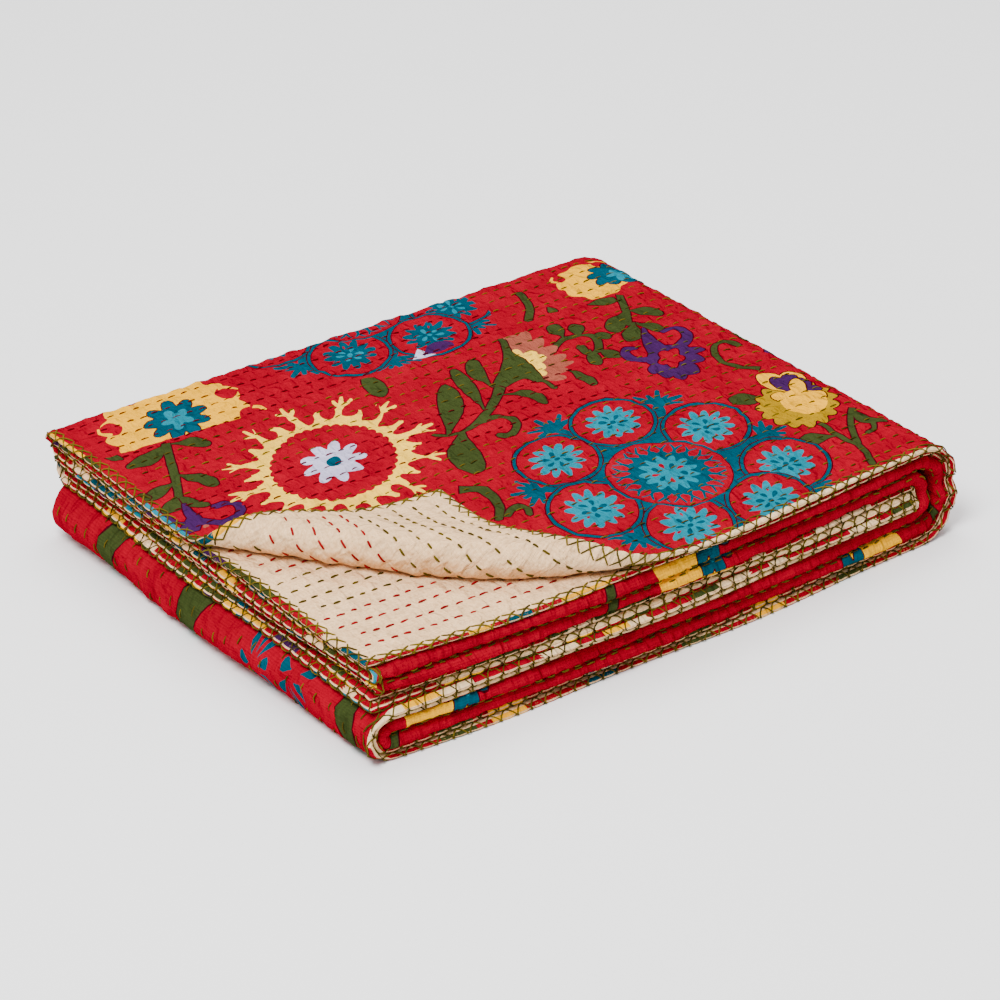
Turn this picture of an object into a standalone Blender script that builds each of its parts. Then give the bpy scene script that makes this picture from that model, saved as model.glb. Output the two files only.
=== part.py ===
# A hand-stitched kantha throw, folded in half twice across and twice along, with the near corner of the
# top layer turned back.  The throw is two cloths, a printed cotton face and a plain cotton backing, that
# lie face to face 0.3 mm apart and follow the same folds.
#
# Flat, a point of the throw is (u, v): u runs along the 1.52 m side, v along the 1.27 m side, and the
# corner (0, 0) is the one turned back.  The folds across (v) make a strip four layers thick, and the folds
# along (u) lay that strip in four runs, so that the pile is sixteen layers high.
#
# Metres, +Z up.  The long side of the pile runs along X, its front is at -Y, and it rests on z = 0.

import bpy
from math import ceil, cos, pi, sin
from mathutils import Vector
from mathutils.geometry import delaunay_2d_cdt

# ---- driving sizes ------------------------------------------------------------------------------------

FLAT_LENGTH = 1.52          # the throw laid out flat, along u
FLAT_WIDTH = 1.27           # and along v
CLOTH = 0.0011              # thickness of each quilted cloth
CLOTH_GAP = 0.0003          # between the two cloths
LAYER_PITCH = 0.0038        # height of one folded layer in the pile
RUN_PITCH = 4 * LAYER_PITCH
INNER_TUCK = 0.004          # how far the inner fold stops short of the outer one
HEM_TUCK = 0.002            # how far the second hem lies behind the first

ROW_PITCH = 0.0115          # rows of running stitch
PUFF = 0.0005               # how far the cloth stands up between two rows

HALF_SHEET = CLOTH + CLOTH_GAP / 2
HALF_STRIP = 1.5 * LAYER_PITCH + HALF_SHEET
PILE_MIDDLE = 1.5 * RUN_PITCH + HALF_STRIP

# ---- how loosely the pile lies ------------------------------------------------------------------------

# How far each layer's edge stands out past the plain pile, in millimetres, counted from the bottom layer.
# Front: at the turned-back corner, half way and at the far end.  Left: at the front, half way, at the back.
LAYER_DRIFT = (
    # layer  front_near  front_middle  front_far  left_front  left_middle  left_back
    (0,  5.0, 10.0,  3.0,   2.0,  6.5,  4.0),
    (1,  4.0,  8.5,  1.0,   2.5,  7.0,  4.5),
    (2,  6.5, 11.0,  2.0,   3.0,  7.0,  5.0),
    (3,  5.0,  9.0,  0.5,   3.5,  7.0,  5.0),
    (4,  6.0, 11.0,  1.5,   3.5,  7.0,  5.0),
    (5,  4.5,  9.0,  0.0,   3.0,  7.0,  4.5),
    (6,  5.0, 12.0,  2.0,   2.5,  6.5,  4.0),
    (7,  6.0, 11.0,  1.0,   2.0,  6.0,  3.0),
    (8,  0.5,  7.0, -1.0,  -1.0,  1.0, -2.0),
    (9,  1.5,  9.0,  0.5,  -3.0, -1.5, -3.0),
    (10, 2.5, 10.0, -2.0,  -5.5, -3.0, -4.0),
    (11, 1.0,  8.5, -1.0,  -1.5,  0.5,  0.0),
    (12, 2.0, 10.0, -2.5,  -3.5, -1.0, -1.0),
    (13, 0.5,  8.5, -1.0,  -6.0, -3.0, -1.5),
    (14, 0.0, 10.0,  1.5,  -4.0, -0.5,  1.0),
    (15, 0.0, 10.5,  0.0,  -4.0,  0.5,  0.0),
)
# The far end and the back, by height in the pile: the wide folds have a waist where the inner folds end.
END_DRIFT = (
    # height_share  right_mm  back_mm
    (0.00, -2.0, -9.0),
    (0.22,  1.0, -5.0),
    (0.48, -2.5, -3.0),
    (0.72,  1.0,  0.0),
    (1.00,  0.0,  0.0),
)
DRIFT_REACH = 0.11          # the drift dies away over this distance from an edge
HEM_WAVE = 0.0012           # slow wave of the edges
HEM_WAVE_LENGTH = 0.17
DOME = 0.03                 # the pile is this share higher at its middle
CORNER_RISE = (             # and this share higher or lower at its corners
    # side    front   back
    ("left",   0.00,  0.06),
    ("right", -0.01, -0.05),
)

# The drift makes the pile lopsided; this sets it square over the origin again.
CENTRE_X, CENTRE_Y = 0.00435, 0.00633

# ---- the turned-back corner ---------------------------------------------------------------------------

CREASE_OUT = (0.7365, 0.6764)   # unit direction from the corner to the crease
# Distance from the corner to the crease, as a cubic in the place along the crease.
CREASE_REACH, CREASE_BOW, CREASE_TURN = 0.0916, 1.85, -7.5
CREASE_ENDS = (-0.130, 0.116)   # places along the crease past which it no longer bends
ROLL_RADIUS = 0.0080            # the soft roll at the crease
FLAP_REST = 0.0041              # the corner comes to rest this far above its own layer
FLAP_FALL = 0.055               # and falls to that height over this distance

# ---- steps --------------------------------------------------------------------------------------------

FOLD_STEPS = {"wide": 7, "near": 5, "inner": 5}
LEG_STEPS_ALONG = (9, 5, 5, 5)      # runs 1, 4, 3 and 2, in the order of the cloth
LEG_STEPS_ACROSS = (5, 3, 3, 4)     # layers 1, 4, 3 and 2
CREASE_LINES = (0.0, 0.2, 0.4, 0.6, 0.8, 1.0)   # across the roll, as shares of its half-turn
FLAP_LINES = (0.012, 0.026, 0.042, 0.06)        # behind the roll, across the fall of the corner
CREASE_STEP = 0.024                 # along a line of the crease
SNAP = 0.0008                       # a line's end this close to another's is moved onto it
MERGE = 1e-5
TOUCH = 1e-6
HALVINGS = 50                       # steps of a search by halving


class FoldPath:
    """The line of something folded in half twice: leg 1 on top, a wide fold at the far end round to leg 4
    at the bottom, a fold at the near end up to leg 3, and an inner fold at the far end up to leg 2."""

    def __init__(self, flat, pitch, bulk, fold_steps, leg_steps):
        far_nose = 1.5 * pitch + bulk
        near_nose = 0.5 * pitch + bulk
        tucks = 4 * far_nose + 2 * near_nose + 2 * INNER_TUCK + HEM_TUCK
        self.span = (flat + tucks - 2.5 * pi * pitch) / 4
        self.start = -self.span / 2
        far = self.span / 2 - far_nose
        near = self.start + near_nose
        inner = far - INNER_TUCK
        end = self.start + HEM_TUCK
        # kind, length, and what the piece needs: a leg its start, height and heading, a fold its centre,
        # radius, first angle, turn and the side on which its outer face lies
        self.pieces = (
            ("leg", far - self.start, (self.start, 1.5 * pitch, 1), leg_steps[0]),
            ("fold", 1.5 * pi * pitch, (far, 0, 1.5 * pitch, pi / 2, -1), fold_steps["wide"]),
            ("leg", far - near, (far, -1.5 * pitch, -1), leg_steps[1]),
            ("fold", 0.5 * pi * pitch, (near, -pitch, 0.5 * pitch, 1.5 * pi, -1), fold_steps["near"]),
            ("leg", inner - near, (near, -0.5 * pitch, 1), leg_steps[2]),
            ("fold", 0.5 * pi * pitch, (inner, 0, 0.5 * pitch, -pi / 2, 1), fold_steps["inner"]),
            ("leg", inner - end, (inner, 0.5 * pitch, -1), leg_steps[3]),
        )
        self.stations = [0.0]
        self.starts = []
        for _, length, _, steps in self.pieces:
            self.starts.append(self.stations[-1])
            self.stations += [self.starts[-1] + length * (i + 1) / steps for i in range(steps)]
        self.stations[-1] = flat

    def at(self, distance):
        """Place along, height, and the two parts of the outward normal of the printed face."""
        index = max(i for i, start in enumerate(self.starts) if distance >= start or i == 0)
        kind, length, data, _ = self.pieces[index]
        travelled = distance - self.starts[index]
        if kind == "leg":
            start, height, heading = data
            return start + heading * travelled, height, 0.0, float(heading)
        centre, height, radius, angle, turn = data
        angle += turn * travelled / radius
        side = -turn
        return (centre + radius * cos(angle), height + radius * sin(angle),
                side * cos(angle), side * sin(angle))


ALONG = FoldPath(FLAT_LENGTH, RUN_PITCH, HALF_STRIP, FOLD_STEPS, LEG_STEPS_ALONG)
ACROSS = FoldPath(FLAT_WIDTH, LAYER_PITCH, HALF_SHEET, {"wide": 5, "near": 4, "inner": 4}, LEG_STEPS_ACROSS)


def smooth(value):
    """Ease from 0 to 1."""
    value = min(max(value, 0.0), 1.0)
    return value * value * (3 - 2 * value)


def from_table(table, key, column):
    """A column of a table, read between its rows by the first column."""
    if key <= table[0][0]:
        return table[0][column]
    for low, high in zip(table, table[1:]):
        if key <= high[0]:
            share = (key - low[0]) / (high[0] - low[0])
            return low[column] + (high[column] - low[column]) * share
    return table[-1][column]


# ---- the turned-back corner, in flat coordinates ------------------------------------------------------

def crease_frame(u, v):
    """Distance from the corner towards the crease, and place along the crease."""
    out_u, out_v = CREASE_OUT
    return u * out_u + v * out_v, v * out_u - u * out_v


def crease_distance(along):
    """Where the roll starts, for a place along the crease."""
    held = min(max(along, CREASE_ENDS[0]), CREASE_ENDS[1])
    return CREASE_REACH + (CREASE_BOW + CREASE_TURN * held) * held * held + ROLL_RADIUS


def past_crease(u, v):
    """How far past the start of the roll a flat point lies; negative on the part that stays down."""
    towards, along = crease_frame(u, v)
    return crease_distance(along) - towards


def flap_profile(travelled):
    """Step towards the crease, rise, and normal of the printed face, after the roll has started."""
    half_turn = pi * ROLL_RADIUS
    if travelled <= half_turn:
        angle = travelled / ROLL_RADIUS
        return -ROLL_RADIUS * sin(angle), ROLL_RADIUS * (1 - cos(angle)), sin(angle), cos(angle)
    run = travelled - half_turn
    drop = 2 * ROLL_RADIUS - FLAP_REST
    rise = 2 * ROLL_RADIUS - drop * smooth(run / FLAP_FALL)
    share = min(run / FLAP_FALL, 1.0)
    slope = -drop * 6 * share * (1 - share) / FLAP_FALL
    size = (1 + slope * slope) ** 0.5
    return run / size, rise, slope / size, -1 / size


def turn_back(u, v, offset):
    """Flat point of the top layer, lifted and turned over past the crease: x, y and height in the layer."""
    travelled = past_crease(u, v)
    out_u, out_v = CREASE_OUT
    towards, along = crease_frame(u, v)
    step, rise, normal_out, normal_up = flap_profile(travelled)
    towards = crease_distance(along) + step + offset * normal_out
    rise += offset * normal_up
    return towards * out_u - along * out_v, towards * out_v + along * out_u, rise


# ---- the pile -----------------------------------------------------------------------------------------

def bowed(share, near, middle, far):
    """A value read along an edge: a parabola through its near, middle and far values."""
    return ((1 - share) * (1 - 2 * share) * near + 4 * share * (1 - share) * middle
            + share * (2 * share - 1) * far)


def settle(x, y, z):
    """The plain pile, let lie: edges drift from layer to layer, and the heights are uneven."""
    layer = (z - HALF_SHEET) / LAYER_PITCH
    height_share = z / (2 * PILE_MIDDLE)
    right = min(max(x / ALONG.span + 0.5, 0.0), 1.0)
    back = min(max(y / ACROSS.span + 0.5, 0.0), 1.0)
    near_left = smooth(1 - (x + ALONG.span / 2) / DRIFT_REACH)
    near_right = smooth(1 - (ALONG.span / 2 - x) / DRIFT_REACH)
    left_mm = bowed(back, *(from_table(LAYER_DRIFT, layer, column) for column in (4, 5, 6)))
    wave = HEM_WAVE * sin(2 * pi * y / HEM_WAVE_LENGTH + 0.9 * layer)
    right_mm = from_table(END_DRIFT, height_share, 1)
    moved_x = x - near_left * (left_mm / 1000 + wave) + near_right * right_mm / 1000
    near_front = smooth(1 - (y + ACROSS.span / 2) / DRIFT_REACH)
    near_back = smooth(1 - (ACROSS.span / 2 - y) / DRIFT_REACH)
    front_mm = bowed(right, *(from_table(LAYER_DRIFT, layer, column) for column in (1, 2, 3)))
    wave = HEM_WAVE * sin(2 * pi * x / HEM_WAVE_LENGTH + 1.3 * layer)
    back_mm = from_table(END_DRIFT, height_share, 2)
    moved_y = y - near_front * (front_mm / 1000 + wave) + near_back * back_mm / 1000
    (_, left_near, left_far), (_, right_near, right_far) = CORNER_RISE
    rise = (left_near * (1 - back) + left_far * back) * (1 - right)
    rise += (right_near * (1 - back) + right_far * back) * right
    moved_z = z * (1 + rise + DOME * sin(pi * right) * sin(pi * back))
    return moved_x + CENTRE_X, moved_y + CENTRE_Y, moved_z


def place(u, v, offset):
    """A flat point of the throw, moved off its middle by offset towards the printed side, in the pile."""
    if is_top_layer(u, v) and past_crease(u, v) > 0:
        du, dv, rise = turn_back(u, v, offset)
        x = ALONG.start + du
        y = ACROSS.start + dv
        z = PILE_MIDDLE + 1.5 * RUN_PITCH + 1.5 * LAYER_PITCH + rise
        return Vector(settle(x, y, z))
    y, depth, normal_y, normal_depth = ACROSS.at(v)
    x, height, normal_x, normal_z = ALONG.at(u)
    depth += offset * normal_depth
    z = PILE_MIDDLE + height + depth * normal_z
    return Vector(settle(x + depth * normal_x, y + offset * normal_y, z))


def is_top_layer(u, v):
    """Whether a flat point is on run 1, layer 1."""
    return u <= ALONG.pieces[0][1] and v <= ACROSS.pieces[0][1]


# ---- quilting -----------------------------------------------------------------------------------------

RUN_1_END = ALONG.starts[2]         # the printed face is seen from run 1 to the end of the wide fold,
LEFT_FOLD = (ALONG.starts[3], ALONG.starts[4])      # and on the fold at the left
LAYER_1_END = ACROSS.starts[1]
LAYER_2_START = ACROSS.starts[6]
ROWS = ceil(LAYER_1_END / ROW_PITCH) - 1


def puff(row_place):
    """Height of the cloth between rows: none at a row, most half way to the next."""
    return PUFF * sin(pi * row_place / ROW_PITCH) ** 2


def face_puff(u, v):
    """Quilting of the printed face, where it is seen."""
    seen = u < RUN_1_END - TOUCH or LEFT_FOLD[0] + TOUCH < u <= LEFT_FOLD[1]
    if not seen or v > ROWS * ROW_PITCH or (is_top_layer(u, v) and past_crease(u, v) > TOUCH):
        return 0.0
    return puff(v)


def backing_puff(u, v):
    """Quilting of the backing, on the turned-back corner and on the layer that it bares."""
    from_hem = FLAT_WIDTH - v
    if is_top_layer(u, v) and past_crease(u, v) > -TOUCH:
        return puff(v)
    if v > LAYER_2_START and u <= ALONG.pieces[0][1] and past_crease(u, from_hem) > -TOUCH:
        return puff(from_hem)
    return 0.0


# ---- the flat meshes ----------------------------------------------------------------------------------

def crease_point(turn, run, along):
    """Flat point at a share of the roll's half-turn, and a run past it, for a place along the crease."""
    out_u, out_v = CREASE_OUT
    towards = crease_distance(along) - turn * pi * ROLL_RADIUS - run
    return towards * out_u - along * out_v, towards * out_v + along * out_u


def crease_line(turn, run):
    """A line along the crease, from the hem at v = 0 to the hem at u = 0."""
    def cut(low, high, part):
        for _ in range(HALVINGS):
            middle = (low + high) / 2
            if crease_point(turn, run, middle)[part] > 0:
                low = middle
            else:
                high = middle
        return low

    first = cut(0.0, -0.4, 1)
    last = cut(0.0, 0.4, 0)
    steps = max(2, ceil((last - first) / CREASE_STEP))
    line = [crease_point(turn, run, first + (last - first) * i / steps) for i in range(steps + 1)]
    line[0] = (snapped(line[0][0], ALONG.stations), 0.0)
    row_marks = [i * ROW_PITCH / 2 for i in range(2 * ROWS)]
    line[-1] = (0.0, snapped(line[-1][1], row_marks + ACROSS.stations))
    return line


def snapped(value, marks):
    """The nearest mark, if it is close, so that no sliver is cut between them."""
    nearest = min(marks, key=lambda mark: abs(mark - value))
    return nearest if abs(nearest - value) < SNAP else value


def row_end(v):
    """Where the line at v meets the start of the roll; 0 past the end of the crease."""
    if past_crease(0.0, v) <= 0:
        return 0.0
    low, high = 0.0, 0.5
    for _ in range(HALVINGS):
        middle = (low + high) / 2
        if past_crease(middle, v) > 0:
            low = middle
        else:
            high = middle
    return low


def fold_lines():
    """Lines that both sides of both cloths share: every station of the folds, and the turned corner."""
    lines = [[(u, 0.0), (u, FLAT_WIDTH)] for u in ALONG.stations]
    lines += [[(0.0, v), (FLAT_LENGTH, v)] for v in ACROSS.stations]
    lines += [crease_line(turn, 0.0) for turn in CREASE_LINES]
    lines += [crease_line(1.0, run) for run in FLAP_LINES]
    return lines


def face_rows():
    """Rows and crests on the printed face where it is seen."""
    lines = []
    for i in range(1, 2 * ROWS):
        v = i * ROW_PITCH / 2
        lines.append([(row_end(v), v), (RUN_1_END, v)])
        lines.append([(LEFT_FOLD[0], v), (LEFT_FOLD[1], v)])
    return lines


def backing_rows():
    """Rows and crests on the backing, on the turned-back corner and the layer under it."""
    lines = []
    for i in range(1, 2 * ROWS):
        v = i * ROW_PITCH / 2
        if row_end(v) > 0.001:
            lines.append([(0.0, v), (row_end(v), v)])
            lines.append([(0.0, FLAT_WIDTH - v), (row_end(v), FLAT_WIDTH - v)])
    return lines


def on_border(point):
    """Whether a flat point lies on the throw's edge."""
    u, v = point
    return u in (0.0, FLAT_LENGTH) or v in (0.0, FLAT_WIDTH)


def border_points(lines):
    """All line ends on the throw's edge, in order round it."""
    corners = [(0.0, 0.0), (FLAT_LENGTH, 0.0), (FLAT_LENGTH, FLAT_WIDTH), (0.0, FLAT_WIDTH)]
    ends = {p for line in lines for p in (line[0], line[-1]) if on_border(p)} | set(corners)
    sides = (
        sorted(p for p in ends if p[1] == 0.0),
        sorted(p for p in ends if p[0] == FLAT_LENGTH),
        sorted((p for p in ends if p[1] == FLAT_WIDTH), reverse=True),
        sorted((p for p in ends if p[0] == 0.0), reverse=True),
    )
    ring = []
    for side in sides:
        for point in side:
            if not ring or point != ring[-1]:
                ring.append(point)
    return ring[:-1]


def flat_mesh(lines, border):
    """The flat throw cut into triangles along the lines: points, triangles, and the border's own points."""
    points = [Vector(p) for p in border]
    edges = [(i, (i + 1) % len(border)) for i in range(len(border))]
    for line in lines:
        first = len(points)
        points += [Vector(p) for p in line]
        edges += [(first + i, first + i + 1) for i in range(len(line) - 1)]
    flat, _, triangles, sources, _, _ = delaunay_2d_cdt(points, edges, [], 0, MERGE)
    where = {source: i for i, group in enumerate(sources) for source in group}
    return flat, triangles, [where[i] for i in range(len(border))]


def cloth_solid(name, outer, inner, border, outer_offset, inner_offset, raised, colour, roughness):
    """One cloth: its outer and inner sides from their flat meshes, closed round the border."""
    outer_flat, outer_triangles, outer_ring = outer
    inner_flat, inner_triangles, inner_ring = inner
    sign = 1 if outer_offset > inner_offset else -1
    points = [place(p.x, p.y, outer_offset + sign * raised(p.x, p.y)) for p in outer_flat]
    shift = len(points)
    points += [place(p.x, p.y, inner_offset) for p in inner_flat]
    faces = [list(t) if sign > 0 else list(reversed(t)) for t in outer_triangles]
    faces += [[i + shift for i in (reversed(t) if sign > 0 else t)] for t in inner_triangles]
    count = len(border)
    for i in range(count):
        j = (i + 1) % count
        a, b = outer_ring[i], outer_ring[j]
        c, d = inner_ring[i] + shift, inner_ring[j] + shift
        faces += [[a, c, d], [a, d, b]] if sign > 0 else [[a, d, c], [a, b, d]]
    mesh = bpy.data.meshes.new(name)
    mesh.from_pydata(points, [], faces)
    mesh.validate()
    material = bpy.data.materials.new(name)
    material.use_nodes = True
    shader = material.node_tree.nodes["Principled BSDF"]
    shader.inputs["Base Color"].default_value = colour
    shader.inputs["Roughness"].default_value = roughness
    shader.inputs["Metallic"].default_value = 0.0
    mesh.materials.append(material)
    cloth = bpy.data.objects.new(name, mesh)
    bpy.context.scene.collection.objects.link(cloth)
    return cloth


for old in list(bpy.data.objects):
    bpy.data.objects.remove(old, do_unlink=True)

shared = fold_lines()
edge = border_points(shared + face_rows() + backing_rows())
between = flat_mesh(shared, edge)
printed_side = flat_mesh(shared + face_rows(), edge)
plain_side = flat_mesh(shared + backing_rows(), edge)

cloth_solid("quilt_face", printed_side, between, edge, HALF_SHEET, CLOTH_GAP / 2, face_puff,
            (0.55, 0.02, 0.04, 1.0), 0.85)
cloth_solid("quilt_backing", plain_side, between, edge, -HALF_SHEET, -CLOTH_GAP / 2, backing_puff,
            (0.73, 0.60, 0.44, 1.0), 0.9)
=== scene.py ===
from math import ceil, pi

import bpy
import numpy as np
from mathutils import Matrix, Vector
from mathutils.geometry import delaunay_2d_cdt


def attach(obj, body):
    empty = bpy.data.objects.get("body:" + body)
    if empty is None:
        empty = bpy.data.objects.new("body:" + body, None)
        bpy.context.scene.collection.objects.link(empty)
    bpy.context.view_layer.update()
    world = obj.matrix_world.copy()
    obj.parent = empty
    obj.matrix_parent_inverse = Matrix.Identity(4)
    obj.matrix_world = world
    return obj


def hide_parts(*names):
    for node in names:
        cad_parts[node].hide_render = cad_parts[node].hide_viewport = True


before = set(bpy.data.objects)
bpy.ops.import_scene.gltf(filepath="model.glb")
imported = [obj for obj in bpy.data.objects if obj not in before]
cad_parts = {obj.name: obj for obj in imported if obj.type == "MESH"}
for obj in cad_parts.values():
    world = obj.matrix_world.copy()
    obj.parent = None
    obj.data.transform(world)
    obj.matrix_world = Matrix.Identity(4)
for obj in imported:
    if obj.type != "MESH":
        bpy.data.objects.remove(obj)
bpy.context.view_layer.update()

# ======== Printed face ========
# The upper cloth of a hand-stitched kantha throw: red cotton with a suzani print, pieced from several
# lengths, quilted in running-stitch rows and folded in half twice each way.

# ---- how the throw is folded: u runs along its 1.52 m side, v along its 1.27 m side ----

FLAT_LENGTH, FLAT_WIDTH = 1.52, 1.27
CLOTH, CLOTH_GAP = 0.0011, 0.0003               # thickness of each cloth, and the space between the two
LAYER_PITCH = 0.0038                            # from layer to layer in the pile
RUN_PITCH = 4 * LAYER_PITCH                     # and from one strip of four layers to the next
INNER_TUCK, HEM_TUCK = 0.004, 0.002             # inner folds and hems end short of the outer folds
HALF_SHEET = CLOTH + CLOTH_GAP / 2
HALF_STRIP = 1.5 * LAYER_PITCH + HALF_SHEET
PILE_MIDDLE = 1.5 * RUN_PITCH + HALF_STRIP
CENTRE_X, CENTRE_Y = 0.00435, 0.00633

LAYER_DRIFT = np.array((
    # layer  front_near  front_middle  front_far  left_front  left_middle  left_back (millimetres)
    (0, 5.0, 10.0, 3.0, 2.0, 6.5, 4.0),
    (1, 4.0, 8.5, 1.0, 2.5, 7.0, 4.5),
    (2, 6.5, 11.0, 2.0, 3.0, 7.0, 5.0),
    (3, 5.0, 9.0, 0.5, 3.5, 7.0, 5.0),
    (4, 6.0, 11.0, 1.5, 3.5, 7.0, 5.0),
    (5, 4.5, 9.0, 0.0, 3.0, 7.0, 4.5),
    (6, 5.0, 12.0, 2.0, 2.5, 6.5, 4.0),
    (7, 6.0, 11.0, 1.0, 2.0, 6.0, 3.0),
    (8, 0.5, 7.0, -1.0, -1.0, 1.0, -2.0),
    (9, 1.5, 9.0, 0.5, -3.0, -1.5, -3.0),
    (10, 2.5, 10.0, -2.0, -5.5, -3.0, -4.0),
    (11, 1.0, 8.5, -1.0, -1.5, 0.5, 0.0),
    (12, 2.0, 10.0, -2.5, -3.5, -1.0, -1.0),
    (13, 0.5, 8.5, -1.0, -6.0, -3.0, -1.5),
    (14, 0.0, 10.0, 1.5, -4.0, -0.5, 1.0),
    (15, 0.0, 10.5, 0.0, -4.0, 0.5, 0.0),
))
END_DRIFT = np.array((
    # height_share  right_mm  back_mm
    (0.00, -2.0, -9.0),
    (0.22,  1.0, -5.0),
    (0.48, -2.5, -3.0),
    (0.72,  1.0,  0.0),
    (1.00,  0.0,  0.0),
))
DRIFT_REACH = 0.11                              # an edge's drift dies out over this distance
HEM_WAVE, HEM_WAVE_LENGTH = 0.0012, 0.17
DOME = 0.03                                     # share by which the middle of the pile stands higher
LEFT_RISE, RIGHT_RISE = (0.00, 0.06), (-0.01, -0.05)     # and each side, at the front and at the back

# the top layer's corner is rolled back along a bowed line across it
CREASE_OUT = (0.7365, 0.6764)                   # away from the corner, in u and v
CREASE_REACH, CREASE_BOW, CREASE_TURN = 0.0916, 1.85, -7.5
CREASE_ENDS = (-0.130, 0.116)                   # the line is bowed between these places along it
ROLL_RADIUS, FLAP_REST, FLAP_FALL = 0.0080, 0.0041, 0.055   # the flap comes to rest over FLAP_FALL

class FoldPath:
    """The line of something folded in half twice, as legs and folds in the order of the cloth."""

    def __init__(self, flat, pitch, bulk):
        far_nose, near_nose = 1.5 * pitch + bulk, 0.5 * pitch + bulk
        tucks = 4 * far_nose + 2 * near_nose + 2 * INNER_TUCK + HEM_TUCK
        self.span = (flat + tucks - 2.5 * pi * pitch) / 4
        self.start = -self.span / 2
        far, near = self.span / 2 - far_nose, self.start + near_nose
        inner, end = far - INNER_TUCK, self.start + HEM_TUCK
        self.pieces = (
            # length, then place, height and heading of a leg or centre, radius, angle and turn of a fold
            (far - self.start, (self.start, 1.5 * pitch, 1)),
            (1.5 * pi * pitch, (far, 0, 1.5 * pitch, pi / 2, -1)),
            (far - near, (far, -1.5 * pitch, -1)),
            (0.5 * pi * pitch, (near, -pitch, 0.5 * pitch, 1.5 * pi, -1)),
            (inner - near, (near, -0.5 * pitch, 1)),
            (0.5 * pi * pitch, (inner, 0, 0.5 * pitch, -pi / 2, 1)),
            (inner - end, (inner, 0.5 * pitch, -1)),
        )
        self.starts = np.cumsum([0.0] + [length for length, _ in self.pieces])

    def at(self, distance):
        """Place along, height, and the two parts of the outward normal of the printed side."""
        made = None
        for start, (_, data) in zip(self.starts, self.pieces):
            travelled = distance - start
            if len(data) == 3:
                first, height, heading = data
                piece = (first + heading * travelled, height, 0.0, heading)
            else:
                centre, height, radius, angle, turn = data
                angle = angle + turn * travelled / radius
                piece = (centre + radius * np.cos(angle), height + radius * np.sin(angle),
                         -turn * np.cos(angle), -turn * np.sin(angle))
            piece = [np.broadcast_to(part, distance.shape) for part in piece]
            made = piece if made is None else [np.where(travelled >= 0, new, old)
                                               for new, old in zip(piece, made)]
        return made


ALONG = FoldPath(FLAT_LENGTH, RUN_PITCH, HALF_STRIP)
ACROSS = FoldPath(FLAT_WIDTH, LAYER_PITCH, HALF_SHEET)
FOLDS, LAYERS = ALONG.starts, ACROSS.starts         # where each leg and fold starts, in flat metres


def smooth(value):
    """Ease from 0 to 1."""
    value = np.clip(value, 0.0, 1.0)
    return value * value * (3 - 2 * value)


def past_crease(u, v):
    """How far past the start of the roll a flat point lies, its place along the crease, and the crease's."""
    along = v * CREASE_OUT[0] - u * CREASE_OUT[1]
    held = np.clip(along, *CREASE_ENDS)
    crease = CREASE_REACH + (CREASE_BOW + CREASE_TURN * held) * held * held + ROLL_RADIUS
    return crease - (u * CREASE_OUT[0] + v * CREASE_OUT[1]), along, crease


def turn_back(u, v, offset):
    """Flat points of the top layer past the crease, lifted and turned over."""
    travelled, along, crease = past_crease(u, v)
    angle = np.clip(travelled / ROLL_RADIUS, 0, pi)
    run = np.maximum(travelled - pi * ROLL_RADIUS, 0)
    drop = 2 * ROLL_RADIUS - FLAP_REST
    share = np.minimum(run / FLAP_FALL, 1.0)
    slope = -drop * 6 * share * (1 - share) / FLAP_FALL
    size = np.sqrt(1 + slope * slope)
    rolling = angle < pi
    step = np.where(rolling, -ROLL_RADIUS * np.sin(angle), run / size)
    rise = np.where(rolling, ROLL_RADIUS * (1 - np.cos(angle)), 2 * ROLL_RADIUS - drop * smooth(share))
    normal_out = np.where(rolling, np.sin(angle), slope / size)
    normal_up = np.where(rolling, np.cos(angle), -1 / size)
    towards = crease + step + offset * normal_out
    return (towards * CREASE_OUT[0] - along * CREASE_OUT[1],
            towards * CREASE_OUT[1] + along * CREASE_OUT[0], rise + offset * normal_up)


def bowed(share, near, middle, far):
    """A parabola through an edge's near, middle and far values."""
    return ((1 - share) * (1 - 2 * share) * near + 4 * share * (1 - share) * middle
            + share * (2 * share - 1) * far)


def settle(x, y, z):
    """The plain pile, let lie: edges drift from layer to layer, and the heights are uneven."""
    layer, height_share = (z - HALF_SHEET) / LAYER_PITCH, z / (2 * PILE_MIDDLE)
    right = np.clip(x / ALONG.span + 0.5, 0.0, 1.0)
    back = np.clip(y / ACROSS.span + 0.5, 0.0, 1.0)

    def drifted(at, other, share, span, first, turn, end):
        edge = [np.interp(layer, LAYER_DRIFT[:, 0], LAYER_DRIFT[:, first + i]) / 1000 for i in range(3)]
        wave = HEM_WAVE * np.sin(2 * pi * other / HEM_WAVE_LENGTH + turn * layer)
        moved = at - smooth(1 - (at + span / 2) / DRIFT_REACH) * (bowed(share, *edge) + wave)
        return moved + (smooth(1 - (span / 2 - at) / DRIFT_REACH)
                        * np.interp(height_share, END_DRIFT[:, 0], END_DRIFT[:, end]) / 1000)

    moved_x = drifted(x, y, back, ALONG.span, 4, 0.9, 1)
    moved_y = drifted(y, x, right, ACROSS.span, 1, 1.3, 2)
    rise = (LEFT_RISE[0] * (1 - back) + LEFT_RISE[1] * back) * (1 - right)
    rise = rise + (RIGHT_RISE[0] * (1 - back) + RIGHT_RISE[1] * back) * right
    moved_z = z * (1 + rise + DOME * np.sin(pi * right) * np.sin(pi * back))
    return np.stack([moved_x + CENTRE_X, moved_y + CENTRE_Y, np.maximum(moved_z, 0.0)], axis=-1)


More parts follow.
